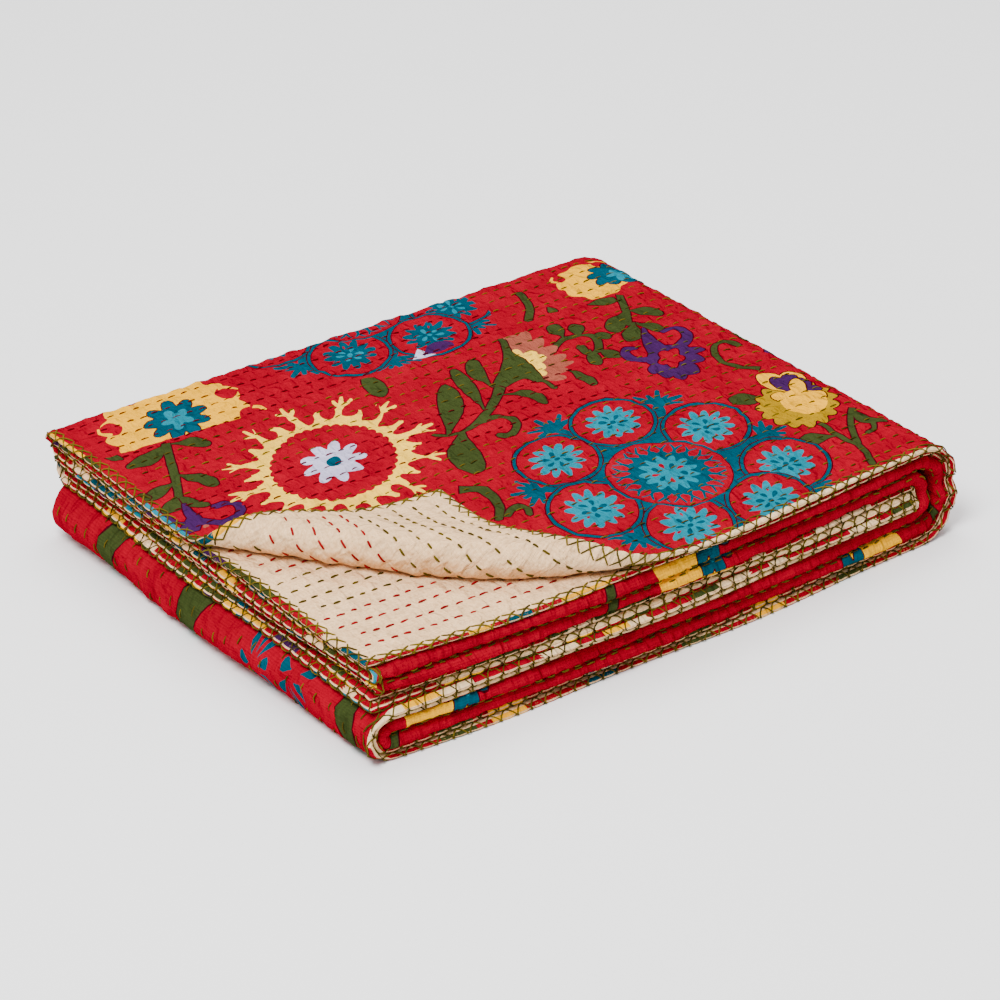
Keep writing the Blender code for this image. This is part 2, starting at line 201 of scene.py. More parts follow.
def place(u, v, offset):
    """Flat points, moved off the middle of the throw by offset towards the printed side, in the pile."""
    u, v, offset = (np.asarray(part, float) for part in np.broadcast_arrays(u, v, offset))
    y, depth, normal_y, normal_depth = ACROSS.at(v)
    x, height, normal_x, normal_z = ALONG.at(u)
    depth = depth + offset * normal_depth
    x, y, z = x + depth * normal_x, y + offset * normal_y, PILE_MIDDLE + height + depth * normal_z
    du, dv, rise = turn_back(u, v, offset)
    turned = (u <= FOLDS[1]) & (v <= LAYERS[1]) & (past_crease(u, v)[0] > 0)
    top = PILE_MIDDLE + 1.5 * RUN_PITCH + 1.5 * LAYER_PITCH
    return settle(np.where(turned, ALONG.start + du, x), np.where(turned, ACROSS.start + dv, y),
                  np.where(turned, top + rise, z))


# ---- the relief of quilting and hems ----

ROW_PITCH = 0.0115          # from one row of running stitches to the next
PUFF = 0.0009               # the cloth stands up by this between rows
STITCH_PITCH = 0.0081
DENT, DENT_WIDTH = 0.00028, 0.0022      # each stitch draws the cloth down along its row
RIPPLE = 0.00024
HEM_PITCH = 0.0093          # from one hem stitch to the next
HEM_ROUND = 0.0014          # the rim is rounded over this distance
HEM_SWELL = 0.0006          # and the cloth swells behind it,
SWELL_AT, SWELL_WIDTH = 0.0026, 0.0016
HEM_SCALLOP = 0.0007        # the rim stands out between stitches
HEM_FOLD = 0.0015           # cloth turned over the edge

# waves of the quilting's slow ripples: per metre along u, per metre along v, phase, size
RIPPLES = np.random.default_rng(11).uniform((-560, -420, 0, 0.4), (560, 420, 2 * pi, 1), (9, 4))


def from_hem(u, v):
    """Distance from the nearest edge of the throw, the place along that edge, and which edge it is."""
    gaps = np.stack([v, FLAT_LENGTH - u, FLAT_WIDTH - v, u])
    nearest = np.argmin(gaps, axis=0)
    return gaps.min(axis=0), np.where(nearest % 2 == 0, u, v), nearest


def relief(u, v):
    """How far the cloth stands off its plain thickness, between the rows and in slow ripples."""
    wave = sum(size * np.sin(a * u + b * v + phase) for a, b, phase, size in RIPPLES) / 3
    puff = PUFF * np.abs(np.sin(pi * v / ROW_PITCH)) ** 1.3 * np.clip(0.85 + 0.45 * wave, 0.25, 1.4)
    row = np.round(v / ROW_PITCH)
    near = np.exp(-((v - row * ROW_PITCH) / DENT_WIDTH) ** 2)
    dent = DENT * near * np.cos(2 * pi * u / STITCH_PITCH + 2.1 * row)
    return puff - dent + RIPPLE * wave


def hem_swell(gap):
    """How much thicker the cloth is behind the rim, where its edge is turned in."""
    return HEM_SWELL * np.exp(-((gap - SWELL_AT) / SWELL_WIDTH) ** 2)


def dressed(u, v, side, inner=False):
    """Cloth points in the pile: side is 1 on the printed side and -1 on the plain one."""
    gap, along, edge = from_hem(u, v)
    out = HEM_SCALLOP * np.abs(np.sin(pi * along / HEM_PITCH)) * np.clip(1 - gap / 0.004, 0, 1)
    moved_u = u + np.select([edge == 3, edge == 1], [-out, out], 0.0)
    moved_v = v + np.select([edge == 0, edge == 2], [-out, out], 0.0)
    if inner:
        return place(moved_u, moved_v, side * CLOTH_GAP / 2)
    rim = np.sqrt(np.clip(1 - (1 - np.minimum(gap / HEM_ROUND, 1)) ** 2, 0.02, 1))
    scallop = 0.35 + 0.65 * np.abs(np.sin(pi * along / HEM_PITCH))
    thick = CLOTH_GAP / 2 + CLOTH * rim + scallop * hem_swell(gap)
    thick = thick + relief(u, v) * np.clip(gap / 0.006 - 0.3, 0, 1)
    return place(moved_u, moved_v, side * thick)


# ---- the print, drawn in flat millimetres as complex numbers u + iv ----

PRINT_COLOURS = {
    "red": (0.30, 0.0, 0.012), "dark": (0.045, 0.002, 0.006), "teal": (0.0, 0.062, 0.096),
    "aqua": (0.004, 0.185, 0.255), "green": (0.036, 0.050, 0.013), "yellow": (0.90, 0.42, 0.001),
    "cream": (0.97, 0.57, 0.050), "grey": (0.52, 0.48, 0.66), "purple": (0.045, 0.010, 0.070),
    "salmon": (0.30, 0.070, 0.045), "ochre": (0.36, 0.20, 0.002), "hem": (0.86, 0.62, 0.34),
    "natural": (0.94, 0.63, 0.36),
}
COLOUR_NAMES = list(PRINT_COLOURS)
GRAIN = 0.788 - 0.616j      # the print lies at this slant on the cloth
OUTLINE = 0.75              # dark line round a shape


def lobed(centre, across, tall, lobes=1, depth=0.0, sharp=0.9, turn=0.0, fine=7):
    """A round flower or a scalloped disc."""
    angle = np.linspace(0, 2 * pi, max(lobes * fine, 24), endpoint=False)
    reach = 1 - depth * (1 - np.abs(np.cos(lobes * (angle - turn) / 2)) ** sharp)
    return centre + GRAIN * reach * (across * np.cos(angle) + 1j * tall * np.sin(angle))


def leaf(base, tip, width, bend=0.12, steps=12):
    """A leaf on a narrow stalk, widest towards its rounded tip."""
    share = (1 - np.cos(np.linspace(0, pi, steps))) / 2
    axis = tip - base
    spine = base + axis * share + 1j * axis * bend * np.sin(pi * share)
    rounded = np.sqrt(1 - (np.maximum(share - 0.62, 0) / 0.38) ** 2)
    half = 1j * axis / abs(axis) * width / 2 * (0.14 + 0.86 * smooth(share / 0.55)) * rounded
    return np.concatenate([spine + half, (spine - half)[-2::-1]])


def band(points, first, last, steps=5):
    """A stem, curl or ray of changing width along a smooth line through the points."""
    points = np.array(points, complex)
    padded = np.concatenate([[2 * points[0] - points[1]], points, [2 * points[-1] - points[-2]]])
    line = []
    for a, b, c, d in zip(padded, padded[1:], padded[2:], padded[3:]):
        for share in np.arange(steps) / steps:
            line.append(0.5 * (2 * b + (c - a) * share + (2 * a - 5 * b + 4 * c - d) * share ** 2
                               + (3 * b - a - 3 * c + d) * share ** 3))
    line = np.array(line + [points[-1]])
    heading = np.gradient(line)
    half = 1j * heading / np.abs(heading) * np.linspace(first, last, len(line)) / 2
    return np.concatenate([line + half, [line[-1] + heading[-1] / abs(heading[-1]) * last / 3],
                           (line - half)[::-1]])


def grown(outline, amount):
    """An outline moved outwards all round."""
    ahead, behind = np.roll(outline, -1), np.roll(outline, 1)
    heading = ahead - behind
    area = np.sum(outline.real * ahead.imag - outline.imag * ahead.real)
    return outline - 1j * np.sign(area) * amount * heading / np.maximum(np.abs(heading), 1e-9)


def outlined(colour, outlines):
    """Shapes of one colour with one dark line round them all."""
    return [("dark", grown(outline, OUTLINE)) for outline in outlines] + [(colour, o) for o in outlines]


def lined(colour, outline):
    """A shape with a dark line round it."""
    return outlined(colour, [outline])


def spokes(centre, count, inner, outer, width, bend=0.12, steps=12, turn=0.0):
    """Leaves set round a centre."""
    ways = GRAIN * np.exp(1j * (turn + 2 * pi * np.arange(count) / count))
    return [leaf(centre + inner * way, centre + outer * way, width, bend, steps) for way in ways]


RAYS = 24
RAY_FORKS = ((-5.3, 0), (0.5, 2.5), (5.0, -2))      # each finger's place to the side, and its extra length


def medallion(centre):
    """A toothed cream ring with forked rays, a scalloped red disc and a star flower."""
    shapes = []
    for i in range(RAYS):
        angle = 2 * pi * (i + 0.25) / RAYS
        out = GRAIN * (np.cos(angle) + 1.29j * np.sin(angle))
        side = 1j * out / abs(out)
        long_ray = i % 2 == 0
        start, knee, end = (centre + out * r for r in (36, 51 if long_ray else 48.5, 58))
        lean = side * (1.8 if i % 4 < 2 else -1.8)
        shapes.append(("cream", band([start, (start + knee) / 2, knee + lean], 9.0, 4.0, 4)))
        for fork, reach in RAY_FORKS if long_ray else ():
            tip = end + lean + side * fork + out / abs(out) * reach
            bent = (knee + lean + tip) / 2 + side * fork * 0.2
            shapes.append(("cream", band([knee + lean, bent, tip], 4.0, 1.7, 3)))
    shapes.append(("cream", lobed(centre, 45.0, 54.9, fine=48)))
    for i in range(RAYS):
        angle = 2 * pi * (i + 0.75) / RAYS
        out = GRAIN * (np.cos(angle) + 1.22j * np.sin(angle))
        notch = leaf(centre + out * 59, centre + out * (41.0 + 1.5 * np.sin(5 * angle)), 9.2, 0.04, 10)
        shapes.append(("red", notch))
    return shapes + [("red", lobed(centre, 35.2, 44.2, 38, 0.045, sharp=0.8, fine=4)),
                     ("grey", lobed(centre, 18.5, 25.0, 9, 0.52, sharp=0.8, turn=0.3, fine=8)),
                     ("teal", lobed(centre, 4.2, 5.2))]


def ring_flower(centre, turn=0.0, colour="aqua", marks="teal"):
    """A lobed flower with short marks round its middle."""
    shapes = [(colour, lobed(centre, 15.9, 19.4, 12, 0.42, turn=turn, fine=6)),
              (marks, lobed(centre, 1.6, 2.0, fine=10))]
    shapes += [(marks, mark) for mark in spokes(centre, 6, 3.0, 8.6, 3.0, 0, 6, turn)]
    return shapes + [("red", mark) for mark in spokes(centre, 3, 8.5, 12.0, 1.5, 0, 5, turn + 0.5)]


RING_PLACES = (
    # x_ring  y_ring  x_tuft  y_tuft: each ring of a cluster, and the tuft between it and the next
    (-59, 12, -67, 53), (-30, 56, -6, 87), (21, 51, 55, 46), (62, 11, 80, -13),
    (52, -27, 34, -66), (8, -52, -19, -71), (-40, -39, -74, -25),
)
TUFT_FINGERS = ((-1.35, 14), (-0.9, 17), (-0.45, 13), (0.0, 17), (0.45, 13), (0.9, 17), (1.35, 13))
RING_DISCS = (("dark", 25.2, 29.4), ("teal", 24.4, 28.6), ("dark", 22.7, 26.7), ("red", 22.1, 26.1))
MIDDLE_DISCS = (("teal", 35.4, 34.6), ("dark", 33.8, 33.0), ("red", 33.2, 32.4))


def ring_cluster(centre, light=True):
    """Seven ring flowers round a larger one, on a teal web, with a tuft between each two rings."""
    rings, tufts = ([centre + GRAIN * (row[k] + 1j * row[k + 1]) for row in RING_PLACES] for k in (0, 2))
    shapes, web = [], []
    for ring, following, tuft in zip(rings, rings[1:] + rings[:1], tufts):
        joint = (ring + following) / 2
        out = (tuft - centre) / abs(tuft - centre)
        palm = joint + (tuft - joint) * 0.68
        for turn, reach in TUFT_FINGERS:
            shapes.append(("teal", band([joint, palm, palm + out * np.exp(1j * turn) * reach], 8.0, 2.6, 3)))
        web += [ring, joint + out * 8]
    shapes += lined("teal", np.array(web))
    for number, ring in enumerate(rings):
        shapes += [(colour, lobed(ring, *size, fine=32)) for colour, *size in RING_DISCS]
        shapes += ring_flower(ring, 0.3 * number, *(("aqua", "teal") if light else ("teal", "aqua")))
    shapes += [(colour, lobed(centre, *size, fine=44)) for colour, *size in MIDDLE_DISCS]
    for i in range(22):
        out = GRAIN * np.exp(2j * pi * i / 22)
        for bend in (-0.11, 0.10):
            line = [centre + out * 20, centre + out * 25, centre + out * np.exp(1j * bend) * 30]
            shapes.append(("teal", band(line, 2.4, 1.1, 2)))
    shapes += [("teal", lobed(centre, 22.3, 23.2, 22, 0.09, sharp=0.55, fine=4)),
               ("aqua", lobed(centre, 16.6, 18.6, 13, 0.42))]
    return shapes + list(zip(("teal", "red") * 5, spokes(centre, 9, 5, 9.8, 2.8, 0)))


LILY_PETALS = (
    # x_tip  y_tip  width
    (20, 9, 8), (20, -7, 9), (16, -24, 9), (8, -30, 8), (-1, -29, 9), (-9, -23, 8), (-12, -9, 8),
    (10, 12, 9),
)
LILY_CURLS = (
    # width at each end, then points x, y
    (7.5, 3.6, (1, 6), (7, 15), (10, 25), (7, 34), (1, 36), (-5, 32)),
    (7.5, 3.6, (-6, -2), (-14, -5), (-21, -4), (-25, 2), (-24, 9), (-19, 10)),
    (1.6, 15.0, (-15.5, 36), (-13, 24), (-9, 13), (-3, 1)),
)


def lily(centre):
    """A purple flower with a red heart and a curl on each side."""
    parts = [band([centre + GRAIN * (x + 1j * y) for x, y in row[2:]], row[0], row[1]) for row in LILY_CURLS]
    parts += [leaf(centre, centre + GRAIN * (x + 1j * y), width * 1.25, 0) for x, y, width in LILY_PETALS]
    parts.append(lobed(centre, 12, 14))
    heart = lobed(centre + GRAIN * (1 - 3j), 8, 12.5, 5, 0.38)
    return outlined("purple", parts) + lined("red", heart)


def half_lily(centre):
    """A purple flower on a tapering neck, with one curl, half under the turned-back corner."""
    neck = band(centre + np.array([5.5 + 32j, 2.5 + 22j, 1.5 + 14j, -7 + 5j]), 2.0, 11.0)
    curl = band(centre + np.array([1 + 11j, 7 + 5j, 14 + 1j, 21 + 2j, 26 + 6.5j, 27 + 13j, 23 + 18j,
                                   16.5 + 19j]), 6.5, 4.0)
    small = leaf(centre - 4 + 13j, centre - 10 + 28j, 6, 0.2)
    spot = lobed(centre + 2 + 3j, 1.8, 2.4, 3, 0.3, sharp=0.55)
    return outlined("purple", [neck, curl, small]) + [("salmon", spot)]


def notched(centre, across, tall, lobes, notches):
    """A yellow flower head; each notch in its edge has a thin yellow curl round its outer side."""
    shapes = [("yellow", lobed(centre, across, tall, lobes, 0.12))]
    for x, y, reach in notches:
        middle = centre + GRAIN * (x + 1j * y)
        out = (middle - centre) / abs(middle - centre)
        curl = [middle + (reach + 0.6) * out * np.exp(1j * turn) for turn in (1.5, 0.9, 0.3, -0.4)]
        shapes += [("red", lobed(middle, reach, 1.2 * reach)), ("yellow", band(curl, 3.2, 1.4, 3))]
    return shapes


DISC_NOTCHES = ((-35, -11, 6.5), (42, 8, 7.5), (24, 34, 6.5), (-19, -42, 6), (-31, 25, 6.5), (29, -31, 7))


def yellow_disc(centre):
    """A large yellow flower head with a teal flower."""
    shapes = notched(centre, 42, 51, 17, DISC_NOTCHES)
    shapes += lined("teal", lobed(centre + 1 + 1j, 18.5, 25, 9, 0.42))
    shapes.append(("aqua", lobed(centre + 1 + 1j, 9.5, 13, 5, 0.6, sharp=1.0)))
    return shapes


def corner_flower():
    """A small yellow flower head with a teal flower at its side."""
    shapes = notched(349 + 285j, 21, 25, 9, ((-19, 2, 4.0), (2, 25, 4.0)))
    shapes += lined("teal", lobed(365 + 286j, 15, 18, 9, 0.40))
    return shapes + [("aqua", lobed(367 + 284j, 7, 9, 5, 0.5))]


GREEN_LEAVES = (
    # u_base  v_base  u_tip  v_tip  width  bend
    (42, 262, 12, 252, 12, 0.12), (45, 260, 62, 246, 10, 0.15), (27, 226, 41, 203, 10, 0.15),
    (23, 221, 3, 213, 10, -0.05), (18, 208, 3, 195, 10, 0.1), (18, 208, 26, 187, 8, -0.1),
    (5, 272, 15, 262, 5, 0.1), (-4, 222, 5, 214, 8, 0.1),
    (176, 270, 168, 234, 12, 0.02), (179, 171, 158, 126, 18, -0.08),
    (170, 172, 203, 223, 14, -0.04), (203, 185, 218, 238, 9, -0.01), (223, 205, 234, 242, 9.5, 0.08),
    (221, 194, 234, 168, 8, 0.24), (269, 195, 270, 171, 7, 0.0), (307, 270, 308, 263, 6, 0.0),
    (291, 232, 295, 250, 9, 0.0), (299, 228, 307, 243, 9, 0.0), (303, 221, 315, 219, 9, 0.0),
    (298, 208, 301, 190, 9, 0.0), (293, 209, 285, 190, 8, 0.0),
    (328, 259, 345, 255, 9, 0.0), (340, 238, 355, 222, 10, 0.1), (338, 237, 318, 220, 12, -0.05),
    (334, 222, 341, 203, 9, 0.1), (334, 222, 319, 202, 11, -0.05), (336, 99, 316, 109, 13, 0.05),
    (336, 42, 312, 44, 12, -0.15), (363, 60, 367, 38, 7, -0.25),
)
GREEN_STEMS = (
    # width at each end, then points u, v
    (4.8, 4.2, (43, 263), (35, 245), (27, 226), (18, 206)),
    (2.0, 6.5, (160, 180), (172, 171), (186, 172), (200, 179), (218, 194), (230, 207)),
    (4.6, 3.8, (194, 175), (203, 173), (208, 168), (208, 161), (203, 154), (196, 151), (191, 154)),
    (4.0, 4.5, (307, 300), (303, 286), (298, 275), (289, 264)),
    (4.0, 4.0, (350, 258), (340, 238), (330, 222)),
    (4.0, 4.5, (275, 221), (283, 227), (291, 230), (300, 228), (305, 220), (297, 206), (290, 206),
     (291, 216)),
    (4.0, 3.0, (354, 130), (346, 140), (343, 153), (350, 167), (360, 171), (363, 162)),
    (3.0, 3.4, (338, 58), (337, 40), (338, 24), (331, 6)),
    (3.0, 3.4, (363, 61), (350, 46), (339, 28)), (2.6, 2.2, (351, 34), (358, 36), (362, 43)),
    (8.0, 3.6, (139, 116), (149, 108), (146, 90), (137, 78)),
    (4.2, 3.2, (142, 78), (150, 83), (156, 80), (153, 73)),
)


SALMON_PETALS = (
    # u_tip  v_tip  width
    (266, 258, 8), (273, 261, 9), (280, 254, 10), (281, 241, 11), (282, 227, 11), (279, 213, 11),
    (277, 202, 10), (269, 196, 9), (261, 187, 9),
)
CREAM_PETALS = ((260, 236, 10), (267, 229, 11), (269, 220, 10), (262, 209, 11), (256, 199, 9))


def salmon_flower():
    """A fan of salmon petals with a cream heart, in a green cup of two sepals."""
    heart, neck = 246 + 212j, 227 + 204j
    shapes = [("salmon", leaf(heart, u + 1j * v, width, 0.0)) for u, v, width in SALMON_PETALS]
    shapes += [("cream", leaf(heart, u + 1j * v, width, 0.0)) for u, v, width in CREAM_PETALS]
    cup = [np.array([neck, 236 + 215j, 247 + 226j, 257 + 239j, 257 + 222j, 254 + 207j, 250 + 191j,
                     244 + 202j, 236 + 203j]),
           band([neck, 236 + 212j, 245 + 222j, 253 + 233j, 259 + 245j, 262 + 254j], 9.0, 2.4),
           band([neck, 237 + 206j, 245 + 202j, 249 + 193j, 250 + 182j], 9.0, 2.4)]
    return shapes + outlined("green", cup)


YELLOW_FLOWER = (
    # colour, then the base and the tip of each petal and its width
    ("yellow", (350, 90, 350, 125, 15), (352, 90, 363, 117, 14)),
    ("purple", (349, 92, 353, 117, 9), (350, 91, 361, 115, 9), (352, 90, 364, 106, 10),
     (353, 88, 365, 94, 9)),
    ("yellow", (348, 84, 338, 99, 9), (348, 84, 363, 85, 12), (348, 84, 361, 107, 9)),
)


def yellow_flower():
    """A yellow flower with purple back petals, on a scalloped ochre disc."""
    shapes = lined("ochre", lobed(343 + 83j, 23, 28, 15, 0.20, sharp=0.8))
    for colour, *petals in YELLOW_FLOWER:
        shapes += outlined(colour, [leaf(row[0] + 1j * row[1], row[2] + 1j * row[3], row[4], 0.0)
                                    for row in petals])
    return shapes + [("yellow", lobed(348 + 83j, 13, 15))]


def print_repeat():
    """One repeat of the print, as it lies on the top of the pile."""
    stems = [band([u + 1j * v for u, v in row[2:]], row[0], row[1]) for row in GREEN_STEMS]
    shapes = [("dark", grown(stem, OUTLINE)) for stem in stems]
    for u, v, tip_u, tip_v, width, bend in GREEN_LEAVES:
        shapes += lined("green", leaf(u + 1j * v, tip_u + 1j * tip_v, width, bend))
    shapes += [("green", stem) for stem in stems]
    shapes += salmon_flower() + yellow_flower()
    shapes += lily(324 + 175j) + half_lily(11 + 166j)
    shapes += medallion(104 + 186j) + ring_cluster(239 + 65j) + corner_flower()
    return shapes


# Lengths that the cloth is pieced from, and how the print lies on each.
PIECES = (
    # u_from  v_from  u_to  v_to  shift_u  shift_v  turned
    (0, 233, 279, 560, 0, 0, 0),
    (279, 0, 800, 420, 0, 0, 0),
    (0, 0, 279, 282, 0, 0, 0),
    (279, 420, 640, 900, 119, 372, 0),
    (0, 560, 279, 1270, -150, 372, 0),
    (279, 900, 800, 1270, 640, 1180, 1),
    (640, 420, 1110, 900, 480, 372, 0),
    (800, 0, 1110, 420, 1020, 330, 1),
    (800, 900, 1520, 1270, 1300, 1290, 1),
    (1110, 0, 1520, 420, 1130, -60, 0),
    (1110, 420, 1520, 900, 1670, 920, 1),
)
SLANTED_SEAM = np.array([269j, 253j])       # on the top of the pile, between the first and third length
NEXT_REPEAT = 372 - 40j                     # from one repeat of the print to the next


def clipped(outline, corners):
    """What of an outline lies inside a convex piece, whose corners run anticlockwise."""
    for start, end in zip(corners, np.roll(corners, -1)):
        inside = ((np.conj(end - start) * (outline - start)).imag >= 0)
        if inside.all():
            continue
        if not inside.any():
            return None
        kept = []
        for i in range(len(outline)):
            a, b = outline[i - 1], outline[i]
            if inside[i] != inside[i - 1]:
                da, db = ((np.conj(end - start) * (p - start)).imag for p in (a, b))
                kept.append(a + (b - a) * da / (da - db))
            if inside[i]:
                kept.append(b)
        outline = np.array(kept)
    return outline if len(outline) > 2 else None


WINDOWS = (
    # u_from  v_from  u_to  v_to: the parts of the printed side that show in the pile (millimetres)
    (0, 0, 452, 345), (765, 0, 813, 345), (452, 0, 765, 12), (813, 0, 1520, 12), (452, 306, 765, 340),
    (813, 306, 1508, 340), (12, 628, 1508, 664), (0, 1258, 1520, 1270), (0, 345, 12, 628),
    (0, 664, 12, 1258), (1508, 12, 1520, 1258),
)
LONGEST, LONGEST_OVER_FOLD = 0.006, 0.001       # no side of an outline on the cloth is longer
FOLD_MARGIN = 0.003                             # the closer steps go on this far past the fold


def stepped(outline):
    """An outline with points added along its long sides, closer where it runs over the near fold."""
    parts = []
    for a, b in zip(outline, np.roll(outline, -1)):
        count = max(1, ceil(abs(b - a) / LONGEST))
        low, high = min(a.imag, b.imag), max(a.imag, b.imag)
        if low < LAYERS[4] + FOLD_MARGIN and high > LAYERS[3] - FOLD_MARGIN:
            count = max(count, ceil(abs(b.imag - a.imag) / LONGEST_OVER_FOLD))
        parts.append(a + (b - a) * np.arange(count) / count)
    return np.concatenate(parts)


def box(low_u, low_v, high_u, high_v):
    """The corners of a rectangle, anticlockwise."""
    return np.array([low_u + 1j * low_v, high_u + 1j * low_v, high_u + 1j * high_v, low_u + 1j * high_v])


def piece_corners(u_from, v_from, u_to, v_to):
    """A length's corners, kept off the hem."""
    edge = 1000 * HEM_FOLD
    return box(max(u_from, edge), max(v_from, edge),
               min(u_to, 1000 * FLAT_LENGTH - edge), min(v_to, 1000 * FLAT_WIDTH - edge))


def fold_flowers():
    """Leaves and petals that lie on the fold at the left of the pile."""
    shapes = lined("green", leaf(770 + 176j, 810 + 148j, 20, 0.1))
    shapes += lined("green", leaf(772 + 262j, 804 + 238j, 15))
    shapes += lined("green", leaf(776 + 10j, 806 + 26j, 12))
    for centre in (789 + 98j, 794 + 66j):
        shapes += [("teal", petal) for petal in spokes(centre, 9, 4, 13, 3.6, 0.1, 6)]
    return shapes


def pieced_print():
    """Every shape on the cloth, in painting order."""
    whole = print_repeat()
    upper = yellow_disc(62.5 + 283j) + ring_cluster(209 + 337j, light=False)
    upper += [("grey", np.array([207 + 262j, 217 + 272j, 222 + 260j])),
              ("purple", leaf(216 + 264j, 238 + 267j, 12, 0.1))]
    painted = []
    for i, (*sides, shift_u, shift_v, turned) in enumerate(PIECES):
        corners = piece_corners(*sides)
        shift, flip = shift_u + 1j * shift_v, -1 if turned else 1
        drawn = [(colour, flip * outline + shift) for colour, outline in whole]
        if i == 0:
            corners[:2] = corners[:2].real + SLANTED_SEAM
            drawn = upper
        elif i == 1:
            drawn += [(colour, outline + NEXT_REPEAT) for colour, outline in whole] + fold_flowers()
        elif i == 2:
            corners[2:] = corners[2:].real + SLANTED_SEAM[::-1]
        for window in WINDOWS:
            seen = clipped(box(*window), corners)
            if seen is None:
                continue
            painted.append(("red", seen))
            cuts = [(colour, clipped(outline, seen)) for colour, outline in drawn]
            painted += [(colour, cut) for colour, cut in cuts if cut is not None]
    return painted


# ---- the flat meshes ----

HEM_LINES = (0.0005, 0.0015, 0.0026, 0.0041, 0.0070)    # lines of points behind the edge
HEM_STEP = HEM_PITCH / 4
MERGE = 3e-5                # points closer than this become one


def border_ring():
    """Points round the throw's edge."""
    count_u, count_v = round(FLAT_LENGTH / HEM_STEP), round(FLAT_WIDTH / HEM_STEP)
    u, v = np.linspace(0, FLAT_LENGTH, count_u + 1), np.linspace(0, FLAT_WIDTH, count_v + 1)
    return np.concatenate([u[:-1], np.full(count_v, FLAT_LENGTH) + 1j * v[:-1],
                           u[:0:-1] + 1j * FLAT_WIDTH, 1j * v[:0:-1]])


def grid(zones):
    """Points over the zones (u_from, u_to, u_step, v_from, v_to, v_step); the first zone that has a place
    keeps it."""
    points, done = [], []
    for u0, u1, du, v0, v1, dv in zones:
        u, v = np.meshgrid(np.arange(u0 + du / 2, u1, du), np.arange(v0, v1 + dv / 2, dv))
        shifted = u + np.where(np.round(v / dv) % 2 == 0, 0, du / 2)
        new = (shifted + 1j * v).ravel()
        margin = HEM_LINES[-1] + 0.001
        keep = (new.real > margin) & (new.real < FLAT_LENGTH - margin)
        keep &= (new.imag > margin) & (new.imag < FLAT_WIDTH - margin)
        for a, b, c, d in done:
            keep &= ~((new.real > a) & (new.real < b) & (new.imag > c) & (new.imag < d))
        points.append(new[keep])
        done.append((u0, u1, v0, v1))
    return np.concatenate(points)


def hem_points(gaps):
    """Lines of points behind the edge, closer together towards it."""
    ring = border_ring()
    lines = []
    for gap in gaps:
        held = ring[(np.arange(len(ring)) % (1 if gap < 0.004 else 2)) == 0]
        u = np.clip(held.real, gap, FLAT_LENGTH - gap)
        v = np.clip(held.imag, gap, FLAT_WIDTH - gap)
        lines.append(np.unique(np.round(u + 1j * v, 6)))
    return np.concatenate(lines)


MIDDLING_ZONES = (
    # u_from  u_to  u_step  v_from  v_to  v_step: enough for the cloth to lie well where it is not seen
    (0.0, 0.27, 0.0052, 0.0, 0.27, 0.0052),
    (0.0, 0.27, 0.0060, FLAT_WIDTH - 0.25, FLAT_WIDTH, 0.0060),
    (0.0, FLAT_LENGTH, 0.008, 0.0, 0.022, 0.0055),
    (0.0, FLAT_LENGTH, 0.008, FLAT_WIDTH - 0.022, FLAT_WIDTH, 0.0055),
    (0.0, 0.022, 0.0055, 0.0, FLAT_WIDTH, 0.008),
    (FLAT_LENGTH - 0.022, FLAT_LENGTH, 0.0055, 0.0, FLAT_WIDTH, 0.008),
    (FOLDS[1], FOLDS[2], 0.008, 0.0, FLAT_WIDTH, 0.012),
    (FOLDS[3], FOLDS[4], 0.004, 0.0, FLAT_WIDTH, 0.012),
    (FOLDS[5], FOLDS[6], 0.005, 0.0, FLAT_WIDTH, 0.012),
    (0.0, FLAT_LENGTH, 0.012, LAYERS[1], LAYERS[2], 0.003),
    (0.0, FLAT_LENGTH, 0.010, LAYERS[3], LAYERS[4], 0.0012),
    (0.0, FLAT_LENGTH, 0.012, LAYERS[5], LAYERS[6], 0.0012),
    (0.0, FLAT_LENGTH, 0.018, 0.0, FLAT_WIDTH, 0.018),
)


def triangulated(free, outlines=()):
    """The flat throw cut into triangles through the border, the free points and the outlines."""
    ring = border_ring()
    points = list(ring) + list(free)
    edges = [(i, (i + 1) % len(ring)) for i in range(len(ring))]
    for outline in outlines:
        first = len(points)
        points += list(outline)
        edges += [(first + i, first + (i + 1) % len(outline)) for i in range(len(outline))]
    flat, _, triangles, sources, _, _ = delaunay_2d_cdt(
        [Vector((p.real, p.imag)) for p in points], edges, [], 0, MERGE)
    where = {source: i for i, group in enumerate(sources) for source in group}
    return np.array([p.x + 1j * p.y for p in flat]), triangles, [where[i] for i in range(len(ring))]


def new_piece(name, points, faces):
    """A smooth mesh, at the origin."""
    mesh = bpy.data.meshes.new(name)
    mesh.from_pydata(points.tolist(), [], faces)
    mesh.polygons.foreach_set("use_smooth", np.ones(len(faces), bool))
    piece = bpy.data.objects.new(name, mesh)
    bpy.context.scene.collection.objects.link(piece)
    return piece


